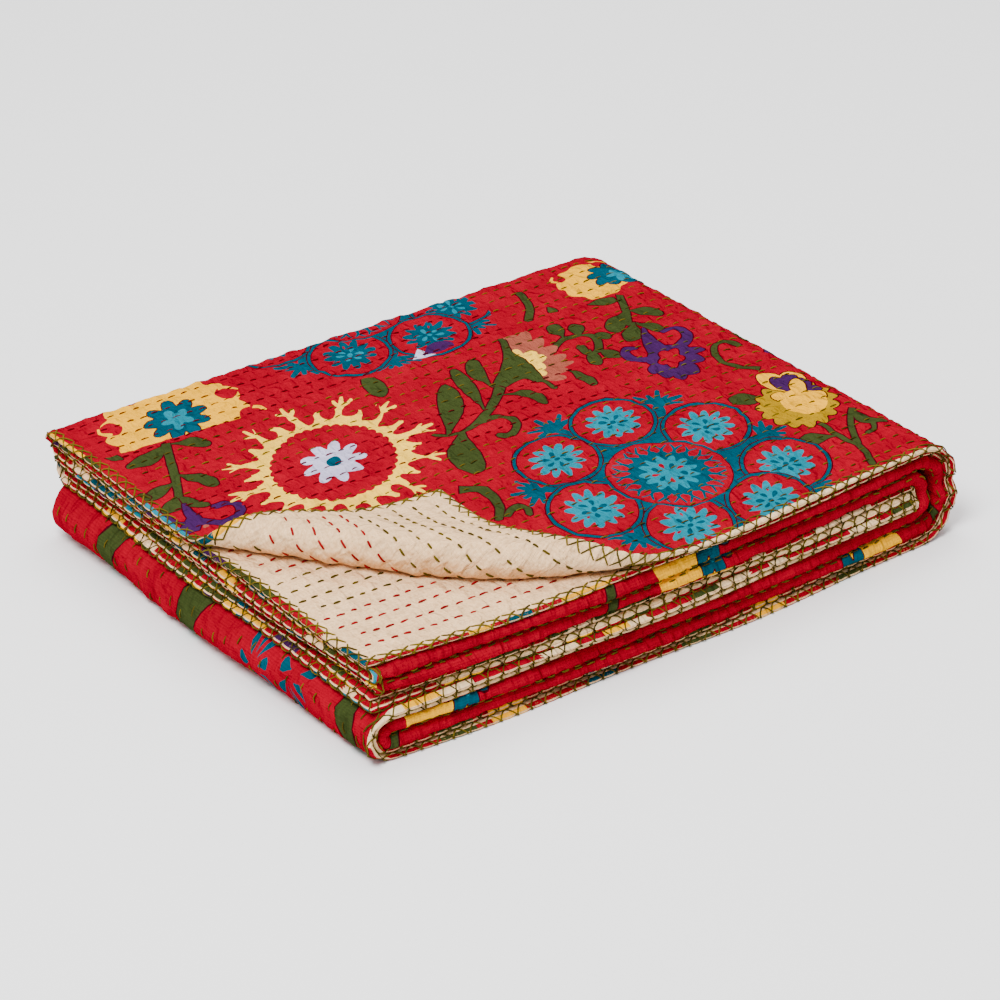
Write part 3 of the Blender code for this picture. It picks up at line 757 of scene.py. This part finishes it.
def closed_cloth(name, outer, inner, side):
    """A cloth from its seen and inner sides, joined round the edge; flat metres go to its UV map."""
    (outer_flat, outer_faces, outer_ring), (inner_flat, inner_faces, inner_ring) = outer, inner
    shift = len(outer_flat)
    points = np.concatenate([dressed(outer_flat.real, outer_flat.imag, side),
                             dressed(inner_flat.real, inner_flat.imag, side, inner=True)])
    faces = [list(t)[::side] for t in outer_faces] + [[i + shift for i in t[::-side]] for t in inner_faces]
    for i in range(len(outer_ring)):
        j = (i + 1) % len(outer_ring)
        a, b, c, d = outer_ring[i], outer_ring[j], inner_ring[j] + shift, inner_ring[i] + shift
        faces.append([a, d, c, b][::side])
    cloth = new_piece(name, points, faces)
    corners = np.empty(len(cloth.data.loops), int)
    cloth.data.loops.foreach_get("vertex_index", corners)
    flat = np.concatenate([outer_flat, inner_flat])[corners]
    layer = cloth.data.uv_layers.new(name="flat")
    layer.data.foreach_set("uv", np.stack([flat.real, flat.imag], axis=1).ravel())
    return cloth


def painted_over(points, shapes):
    """For each point, the index of the last shape that covers it, or -1."""
    found = np.full(len(points), -1)
    order = np.argsort(points.real)
    sorted_u = points.real[order]
    for number, outline in enumerate(shapes):
        first, last = np.searchsorted(sorted_u, [outline.real.min(), outline.real.max()])
        held = order[first:last]
        held = held[(points.imag[held] >= outline.imag.min()) & (points.imag[held] <= outline.imag.max())]
        if not len(held):
            continue
        p = points[held][:, None]
        a, b = outline[None, :], np.roll(outline, -1)[None, :]
        crosses = (a.imag > p.imag) != (b.imag > p.imag)
        rise = np.where(b.imag == a.imag, 1e-12, b.imag - a.imag)
        at = a.real + (p.imag - a.imag) * (b.real - a.real) / rise
        inside = (crosses & (p.real < at)).sum(axis=1) % 2 == 1
        found[held[inside]] = number
    return found


HEM_COLOURS = (
    # colour  edges  start  end (metres): laid one over the other, over the short mixed runs
    ("red", (0, 2), 0.36, 0.78), ("red", (0, 2), 1.48, 1.52), ("green", (0, 2), 0.47, 0.49),
    ("yellow", (0, 2), 0.53, 0.55), ("green", (0, 2), 0.58, 0.60), ("teal", (0, 2), 0.64, 0.66),
    ("yellow", (0, 2), 0.70, 0.72), ("green", (0, 2), 0.73, 0.75), ("hem", (0,), 0.0, 0.375),
    ("red", (2,), 0.0, 0.36), ("yellow", (2,), 0.06, 0.075), ("teal", (2,), 0.085, 0.1),
    ("yellow", (2,), 0.118, 0.15), ("green", (2,), 0.2, 0.23),
)
BARE_HEM = 0.12             # as far as this along edge 3, hardly any printed cloth is turned over


def hem_runs(printed):
    """Edge, start, end and colour of each length of hem."""
    draw = np.random.default_rng(5)
    side_mix = ("red",) * 8 + ("yellow", "yellow", "teal", "teal", "aqua", "green", "green", "purple")
    side_mix += () if printed else ("natural",) * 2
    front_mix = ("red",) * 5 + ("green", "yellow", "hem", "hem", "hem") if printed else ("hem",)
    runs = []
    for edge, (length, mix) in enumerate(((FLAT_LENGTH, front_mix), (FLAT_WIDTH, side_mix)) * 2):
        start = 0.0
        while start < length:
            end = start + draw.uniform(0.008, 0.024)
            runs.append((edge, start, end, mix[draw.integers(len(mix))]))
            start = end
    return runs + [(edge, *where, colour) for colour, edges, *where in HEM_COLOURS for edge in edges]


def make_cloth(name, side, zones, shapes, ground):
    """One of the two cloths, its seen side coloured triangle by triangle and its inner side undyed."""
    outlines = [outline for _, outline in shapes]
    outer = triangulated(np.concatenate([hem_points(HEM_LINES), grid(zones + MIDDLING_ZONES)]), outlines)
    inner = triangulated(np.concatenate([hem_points(HEM_LINES[1::3]), grid(MIDDLING_ZONES)]))
    cloth = closed_cloth(name, outer, inner, side)
    middles = outer[0][np.array(outer[1])].mean(axis=1)
    numbers = np.array([COLOUR_NAMES.index(colour) for colour, _ in shapes] + [COLOUR_NAMES.index(ground)])
    paint = numbers[painted_over(middles, outlines)]
    gap, along, edge = from_hem(middles.real, middles.imag)
    turned_over = np.array([HEM_FOLD] * 4 if side > 0 else [HEM_FOLD, HEM_LINES[3], HEM_FOLD, HEM_LINES[2]])
    reach = np.where((edge == 3) & (along < BARE_HEM), HEM_LINES[0], turned_over[edge])
    for hem_edge, start, end, colour in hem_runs(side > 0):
        held = (gap < reach) & (edge == hem_edge) & (along >= start) & (along < end)
        paint[held] = COLOUR_NAMES.index(colour)
    colours = np.ones((len(cloth.data.loops), 4))
    colours[:, :3] = PRINT_COLOURS["natural"]
    colours[:3 * len(paint), :3] = np.repeat(np.array(list(PRINT_COLOURS.values()))[paint], 3, axis=0)
    layer = cloth.data.color_attributes.new("print", "FLOAT_COLOR", "CORNER")
    layer.data.foreach_set("color", colours.ravel())
    return cloth


FACE_ZONES = (
    # u_from  u_to  u_step  v_from  v_to  v_step: fine on the top and on the folds that show
    (0.0, FOLDS[2], 0.0040, 0.0, LAYERS[1], ROW_PITCH / 4),
    (0.0, FLAT_LENGTH, 0.0055, LAYERS[1], LAYERS[2], 0.0020),
    (0.0, FLAT_LENGTH, 0.0052, LAYERS[3] - 0.0005, LAYERS[4] + 0.0005, 0.0009),
    (0.0, FLAT_LENGTH, 0.0058, LAYERS[3] - 0.0085, LAYERS[3] - 0.0005, 0.002),
    (0.0, FLAT_LENGTH, 0.0058, LAYERS[4] + 0.0005, LAYERS[4] + 0.0085, 0.002),
    (FOLDS[3], FOLDS[4], 0.0026, 0.0, LAYERS[1], ROW_PITCH / 4),
)
print_shapes = [(colour, stepped(outline / 1000)) for colour, outline in pieced_print()]
face_cloth = make_cloth("quilt_face_cloth", 1, FACE_ZONES, print_shapes, "red")


class Tree:
    """Short hand for laying out shader nodes."""

    def __init__(self, tree):
        self.tree = tree

    def node(self, kind, inputs=None, **settings):
        made = self.tree.nodes.new(kind)
        for name, value in settings.items():
            setattr(made, name, value)
        for name, value in (inputs or {}).items():
            if isinstance(value, bpy.types.NodeSocket):
                self.tree.links.new(value, made.inputs[name])
            else:
                made.inputs[name].default_value = value
        return made

    def maths(self, operation, first, second=0.0, third=0.0):
        return self.node("ShaderNodeMath", {0: first, 1: second, 2: third}, operation=operation).outputs[0]

    def times(self, first, second):
        return self.node("ShaderNodeVectorMath", {0: first, 1: second}, operation="MULTIPLY").outputs[0]

    def mix(self, blend, share, first, second):
        inputs = {0: share, 6: first, 7: second}
        return self.node("ShaderNodeMix", inputs, data_type="RGBA", blend_type=blend).outputs[2]

    def noise(self, at, scale, detail, stretch=(1.0, 1.0), **more):
        if stretch != (1.0, 1.0):
            at = self.node("ShaderNodeMapping", {"Vector": at, "Scale": (*stretch, 1.0)}).outputs[0]
        inputs = {"Vector": at, "Scale": scale, "Detail": detail, **more}
        return self.node("ShaderNodeTexNoise", inputs).outputs["Fac"]

    def wave(self, at, scale, distortion, direction):
        inputs = {"Vector": at, "Scale": scale, "Distortion": distortion, "Detail": 1.0}
        return self.node("ShaderNodeTexWave", inputs, bands_direction=direction).outputs

    def ranged(self, value, low, high, to_low, to_high):
        inputs = {"Value": value, "From Min": low, "From Max": high, "To Min": to_low, "To Max": to_high}
        return self.node("ShaderNodeMapRange", inputs).outputs[0]

    def attribute(self, name):
        return self.node("ShaderNodeAttribute", attribute_name=name, attribute_type="GEOMETRY").outputs


def new_material(name, roughness, specular):
    """A material, the layout of its nodes and its shader's sockets."""
    material = bpy.data.materials.new(name)
    material.use_nodes = True
    shader = material.node_tree.nodes["Principled BSDF"]
    shader.inputs["Roughness"].default_value = roughness
    shader.inputs["Specular IOR Level"].default_value = specular
    return material, Tree(material.node_tree), shader.inputs


def finished(tree, sockets, colour, height, strength, distance):
    """Joins a colour and a relief to the shader."""
    bump = tree.node("ShaderNodeBump", {"Height": height, "Strength": strength, "Distance": distance})
    tree.tree.links.new(colour, sockets["Base Color"])
    tree.tree.links.new(bump.outputs[0], sockets["Normal"])


def woven_group():
    """Height and tone of hand-woven cotton: crossing yarns, slubs and soft crumples. The tone is partly the
    slubs' own tint and partly painted shade, lighter on the crumples' ridges and darker in their hollows.
    """
    group = bpy.data.node_groups.new("woven_cotton", "ShaderNodeTree")
    group.interface.new_socket("Flat", in_out="INPUT", socket_type="NodeSocketVector")
    group.interface.new_socket("Height", in_out="OUTPUT", socket_type="NodeSocketFloat")
    group.interface.new_socket("SlubToneAndCrumpleShade", in_out="OUTPUT", socket_type="NodeSocketFloat")
    tree = Tree(group)
    flat = tree.node("NodeGroupInput").outputs["Flat"]
    warp, weft = (tree.wave(flat, 420.0, 1.5, direction)["Fac"] for direction in "XY")
    slubs = [tree.noise(flat, 1.0, 3.0, stretch) for stretch in ((60.0, 900.0), (900.0, 60.0))]
    slubs = tree.maths("MULTIPLY", tree.maths("ADD", *slubs), 0.5)
    crumple = tree.noise(flat, 1.0, 2.0, (170.0, 105.0), Distortion=0.25)
    height = tree.maths("MULTIPLY_ADD", tree.maths("MULTIPLY", warp, weft), 0.030,
                        tree.maths("MULTIPLY", slubs, 0.10))
    # tone: the slubs' own tint, plus painted shade from the same crumple noise that raises the relief
    tone = tree.maths("MULTIPLY_ADD", slubs, 0.7, tree.maths("MULTIPLY", crumple, 0.3))
    tree.node("NodeGroupOutput", {"Height": tree.maths("ADD", crumple, height), "SlubToneAndCrumpleShade": tone})
    return group


woven = woven_group()


def cotton_material(name, tone_and_shade_share, bump_depth, worn, flecked=None):
    """Woven cotton in the colours painted on its triangles, with flecked(tree, flat, colour) on them."""
    material, tree, sockets = new_material(name, 0.95, 0.0)
    flat = tree.node("ShaderNodeUVMap", uv_map="flat").outputs[0]
    cloth = tree.node("ShaderNodeGroup", {"Flat": flat}, node_tree=woven).outputs
    colour = tree.attribute("print")["Color"]
    colour = flecked(tree, flat, colour) if flecked else colour
    # the colour is scaled by the slub tint and by painted crumple shade, lighter on ridges and darker in
    # hollows
    shade = tree.ranged(cloth["SlubToneAndCrumpleShade"], 0.3, 0.7, 1 - tone_and_shade_share, 1 + tone_and_shade_share)
    faded = tree.ranged(tree.noise(flat, 38.0, 5.0), 0.35, 0.7, 1 - worn, 1 + worn)
    finished(tree, sockets, tree.times(tree.times(colour, shade), faded), cloth["Height"], 0.9, bump_depth)
    return material


face_cloth.data.materials.append(cotton_material("printed_cotton", 0.20, 0.0095, 0.12))
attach(face_cloth, "root")
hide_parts("quilt_face")

# ======== Backing ========
# The under cloth of the throw: undyed hand-woven cotton, seen on the turned-back corner and on the layer
# below it, and turned over the edges to make the hem.

BARE = 0.235                # the plain side shows no further than this from the corners
BACKING_ZONES = (
    # u_from  u_to  u_step  v_from  v_to  v_step: fine where the corner is turned back, and below it
    (0.0, BARE, 0.0024, 0.0, BARE, ROW_PITCH / 5),
    (0.0, BARE, 0.0032, FLAT_WIDTH - BARE, FLAT_WIDTH, ROW_PITCH / 4),
)


def undyed(tree, flat, colour):
    """Slow changes of tint, small nubs and darker flecks."""
    ground = tree.mix("MULTIPLY", tree.noise(flat, 30.0, 3.0), colour, (0.86, 0.80, 0.72, 1.0))
    nubs = tree.ranged(tree.noise(flat, 620.0, 2.0, Roughness=0.7), 0.40, 0.62, 0.0, 1.0)
    ground = tree.mix("MULTIPLY", nubs, ground, (0.86, 0.81, 0.76, 1.0))
    flecks = tree.ranged(tree.noise(flat, 900.0, 2.0), 0.62, 0.72, 0.0, 0.55)
    return tree.mix("MIX", flecks, ground, (0.40, 0.22, 0.09, 1.0))


backing_cloth = make_cloth("quilt_backing_cloth", -1, BACKING_ZONES, [], "natural")
backing_cloth.data.materials.append(cotton_material("natural_cotton", 0.22, 0.0075, 0.05, undyed))
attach(backing_cloth, "root")
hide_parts("quilt_backing")

# ======== Running stitches ========
# Hand quilting in cotton thread through both cloths, in rows along the throw's length: mostly olive, with
# rows of red here and there.

THREAD, SUNK_THREAD = 0.00062, 0.00041      # radius of the doubled thread, and where it sinks in the print
THREAD_SIDES = 5
STITCH_LENGTH = 0.0050
SHORTER_ON_FOLD = 0.65      # the stitches on the fold at the left sink in more, and look shorter


def tubes(name, centres, normals, radii, tones, material):
    """One mesh of many short threads: centres and normals are (thread, point, 3), radii (thread, point)."""
    count, steps, _ = centres.shape
    heading = np.gradient(centres, axis=1)
    heading /= np.linalg.norm(heading, axis=2, keepdims=True)
    normals = normals - heading * (normals * heading).sum(axis=2, keepdims=True)
    normals[~normals.any(axis=2)] = (1.0, 0.0, 0.0)         # where a thread runs straight up or down
    normals /= np.linalg.norm(normals, axis=2, keepdims=True)
    across = np.cross(heading, normals)
    angle = (2 * pi * np.arange(THREAD_SIDES) / THREAD_SIDES)[None, None, :, None]
    ring = normals[:, :, None] * np.cos(angle) * 0.8 + across[:, :, None] * np.sin(angle)
    points = centres[:, :, None] + ring * radii[:, :, None, None]
    points[..., 2] = np.maximum(points[..., 2], 0.0)
    faces = []
    for first in range(0, count * steps * THREAD_SIDES, steps * THREAD_SIDES):
        last = first + (steps - 1) * THREAD_SIDES
        for low in range(first, last, THREAD_SIDES):
            high = low + THREAD_SIDES
            faces += [(low + k, low + (k + 1) % THREAD_SIDES, high + (k + 1) % THREAD_SIDES, high + k)
                      for k in range(THREAD_SIDES)]
        faces.append(tuple(range(first + THREAD_SIDES - 1, first - 1, -1)))
        faces.append(tuple(range(last, last + THREAD_SIDES)))
    threads = new_piece(name, points.reshape(-1, 3), faces)
    shade = np.repeat(tones, steps * THREAD_SIDES)
    threads.data.attributes.new("tone", "FLOAT", "POINT").data.foreach_set("value", shade)
    threads.data.materials.append(material)
    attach(threads, "root")
    return threads


def thread_material(name, light, dark):
    """Twisted cotton thread, lighter and darker from stitch to stitch, with painted shade darkening the
    grooves of its twist.
    """
    material, tree, sockets = new_material(name, 0.8, 0.05)
    ply = tree.wave(tree.node("ShaderNodeTexCoord").outputs["Object"], 520.0, 2.0, "DIAGONAL")
    colour = tree.mix("MIX", tree.attribute("tone")["Fac"], (*light, 1.0), (*dark, 1.0))
    # the ply wave raises the twist in the bump and also darkens its grooves in the colour: painted shade
    finished(tree, sockets, tree.mix("MULTIPLY", 0.35, colour, ply["Color"]), ply["Fac"], 0.5, 0.0002)
    return material


RED_ROWS = (14, 15, 16, 17, 23, 24, 25, 26, 27)     # sewn in red on the printed side too
CORNER_RED_ROWS = range(6, 11)                      # and on the plain side of the turned-back corner
LOWER_RED_ROWS = (1, 2, 3, 4)                       # of every eight on the plain side below it
RED_END, OLIVE_START = 0.279, 0.270                 # a red row changes to olive at the seam on the top
LOWER_PANEL = 0.22                                  # the plain side below shows this far from its edge
SHOWN_CORNER = 0.012                                # rows that reach the corner by less aren't sewn


def crease_end(v):
    """Where the row at v meets the roll of the turned-back corner."""
    u = np.linspace(0, 0.3, 601)
    past = past_crease(u, np.full_like(u, v))[0] > 0
    return float(u[past].max()) if past.any() else 0.0


def stitch_rows():
    """Every running stitch that shows: u, v, side, length, slant, tone and whether it is red."""
    draw = np.random.default_rng(23)
    rows = []

    def run(row_v, starts, ends, side, red):
        u = starts + 0.010 + draw.uniform(0, STITCH_PITCH)
        on_fold = SHORTER_ON_FOLD if starts > FOLDS[2] else 1.0
        while u < ends - 0.008:
            tone = draw.uniform()
            if side < 0:
                tone = 0.45 * tone if red else 0.4 + 0.6 * tone
            elif red:
                tone = 1.0
            rows.append((u, row_v + draw.normal(0, 0.00035), side,
                         STITCH_LENGTH * on_fold * draw.uniform(0.7, 1.15), draw.normal(0, 0.05), tone, red))
            u += STITCH_PITCH * draw.uniform(0.9, 1.1)

    for k in range(1, int(FLAT_WIDTH / ROW_PITCH)):
        v = k * ROW_PITCH
        if k <= int(LAYERS[2] / ROW_PITCH):
            crease = crease_end(v)
            if k in RED_ROWS:
                run(v, crease, RED_END, 1, True)
                run(v, max(crease, OLIVE_START), FOLDS[2], 1, False)
            else:
                run(v, crease, FOLDS[2], 1, False)
            run(v, FOLDS[3] - 0.01, FOLDS[4] + 0.01, 1, False)
            if crease > SHOWN_CORNER:
                run(v, 0.0, crease + 0.012, -1, k in CORNER_RED_ROWS)
        elif LAYERS[3] - 0.006 < v < LAYERS[4] + 0.006:
            run(v, 0.0, FLAT_LENGTH, 1, False)
        panel = FLAT_WIDTH - v
        if panel < LOWER_PANEL and crease_end(panel) > SHOWN_CORNER:
            run(v, 0.0, crease_end(panel) + 0.01, -1, round(panel / ROW_PITCH) % 8 in LOWER_RED_ROWS)
    return np.array(rows)


THREADS = (
    # piece  red  material  light colour  dark colour
    ("running_stitch_olive", 0, "olive_thread", (0.150, 0.105, 0.006), (0.036, 0.027, 0.002)),
    ("running_stitch_red", 1, "red_thread", (0.32, 0.001, 0.008), (0.10, 0.001, 0.004)),
)


def make_running_stitches():
    """Each stitch comes out of the cloth, lies on it and goes in again."""
    u, v, side, length, slant, tone, red = stitch_rows().T[:, :, None]
    share = np.array([-0.5, -0.36, 0.0, 0.36, 0.5])
    lift = np.array([-0.0006, 0.00018, 0.00042, 0.00018, -0.0006])
    u, v = u + share * length, v + share * (length * slant)
    away = side * (HALF_SHEET + lift + 0.00005)
    centres = place(u, v, away)
    normals = place(u, v, away + side * 0.0004) - centres
    radii = np.where(side > 0, SUNK_THREAD, THREAD) * np.array([0.55, 1.0, 1.1, 1.0, 0.55])
    return [tubes(name, *(part[red[:, 0] == kind] for part in (centres, normals, radii, tone[:, 0])),
                  thread_material(*look)) for name, kind, *look in THREADS]


running = make_running_stitches()

# ======== Hem stitches ========
# The edge is oversewn all round with a doubled olive thread: crosses on both sides of the hem, and a loop
# over the rim where each pair meets.

HEM_REACH = 0.0054          # from the rim to the far end of a cross
HEM_THREAD = 0.00050        # radius of the thread
LOOP = 0.0012               # the loop stands this far off the rim


def from_edge(edge, along, gap):
    """The flat place along an edge of the throw and behind it."""
    behind = gap if edge in (0, 3) else (FLAT_WIDTH if edge == 2 else FLAT_LENGTH) - gap
    return (along, behind) if edge % 2 == 0 else (behind, along)


def make_hem_stitches():
    """Each thread runs in on one side, over the rim, and back on the other side."""
    draw = np.random.default_rng(31)
    share = np.array([0.0, 0.06, 0.25, 0.45, 0.62, 0.78, 0.9, 1.0])
    inset = HEM_REACH * (1 - share) - 0.0005 * share
    lift = HALF_SHEET * np.sqrt(np.clip(1 - (1 - np.clip(inset / HEM_ROUND, 0, 1)) ** 2, 0, 1))
    lift = lift + hem_swell(inset) + np.array([-6, 2, 4, 5, 4, 4, 3, 2]) * 0.0001
    gap, away = np.append(inset, inset[-2::-1]), np.append(lift, -lift[-2::-1])
    rim = len(share) - 1
    gap[rim], away[rim] = -LOOP, 0.0
    paths = []
    for edge, length in enumerate((FLAT_LENGTH, FLAT_WIDTH) * 2):
        for k in range(int(length / HEM_PITCH)):
            for lean in (-1, 1):
                wobble, half = draw.normal(0, 0.0004), HEM_PITCH / 2 + draw.normal(0, 0.0003)
                along = (k + 0.5) * HEM_PITCH + lean * half * (2 * share - 1) + wobble
                along = np.append(along, along[-2::-1])
                paths.append((*from_edge(edge, along, gap), away + lean * 0.00012))
    u, v, offset = np.array(paths).transpose(1, 0, 2)
    centres = place(u, v, offset)
    normals = place(u, v, offset + 0.0004) - centres
    radii = np.full(centres.shape[:2], HEM_THREAD)
    radii[:, [0, -1]] *= 0.6
    material = thread_material("hem_thread", (0.165, 0.118, 0.008), (0.050, 0.037, 0.004))
    return tubes("hem_stitches", centres, normals, radii, draw.uniform(size=len(paths)), material)


hem = make_hem_stitches()

# ======== Floor, lights and camera ========

bpy.ops.mesh.primitive_plane_add(size=8.0, location=(0, 0, 0))
floor = bpy.context.active_object
floor.name = "studio_floor"
floor_material, _, floor_sockets = new_material("studio_floor", 0.9, 0.5)
floor_sockets["Base Color"].default_value = (0.93, 0.93, 0.93, 1)
floor.data.materials.append(floor_material)

LIGHTS = (
    # name  place  size  power
    ("key", (-1.0, -0.6, 2.0), 1.0, 88.0),
    ("fill", (1.3, -1.1, 1.0), 1.6, 5.0),
    ("top", (0.5, 0.7, 2.0), 1.4, 42.0),
)
for name, at, size, power in LIGHTS:
    light = bpy.data.lights.new(name, "AREA")
    light.shape, light.size, light.energy = "SQUARE", size, power
    lamp = bpy.data.objects.new(name, light)
    lamp.location = at
    lamp.rotation_euler = (-Vector(at)).to_track_quat("-Z", "Y").to_euler()
    bpy.context.scene.collection.objects.link(lamp)
world = bpy.data.worlds.new("studio")
world.use_nodes = True
world.node_tree.nodes["Background"].inputs["Color"].default_value = (1, 1, 1, 1)
world.node_tree.nodes["Background"].inputs["Strength"].default_value = 0.58
bpy.context.scene.world = world

AZIMUTH, ELEVATION, ROLL = np.radians((-33.5881, 28.5348, -2.9192))
DISTANCE, LENS, SENSOR = 2.5092, 162.0, 36.0
EYE_SHIFT = (0.0012, -0.0152)       # the view passes this far beside the middle of the floor under the pile
right = np.array([np.cos(AZIMUTH), np.sin(AZIMUTH), 0.0])
level = np.array([np.sin(AZIMUTH), -np.cos(AZIMUTH), 0.0])
back = level * np.cos(ELEVATION) + np.array([0.0, 0.0, np.sin(ELEVATION)])
up = np.cross(back, right)
turn = np.stack([np.cos(ROLL) * right + np.sin(ROLL) * up,
                 np.cos(ROLL) * up - np.sin(ROLL) * right, back], axis=1)
spot = np.array([CENTRE_X, CENTRE_Y, 0.0]) - turn @ np.array([*EYE_SHIFT, -DISTANCE])
camera_data = bpy.data.cameras.new("camera")
camera_data.lens, camera_data.sensor_width = LENS, SENSOR
camera_data.clip_start, camera_data.clip_end = 0.05, 50.0
camera = bpy.data.objects.new("camera", camera_data)
camera.matrix_world = Matrix.Translation(Vector(spot)) @ Matrix(turn.tolist()).to_4x4()
bpy.context.scene.collection.objects.link(camera)
bpy.context.scene.camera = camera
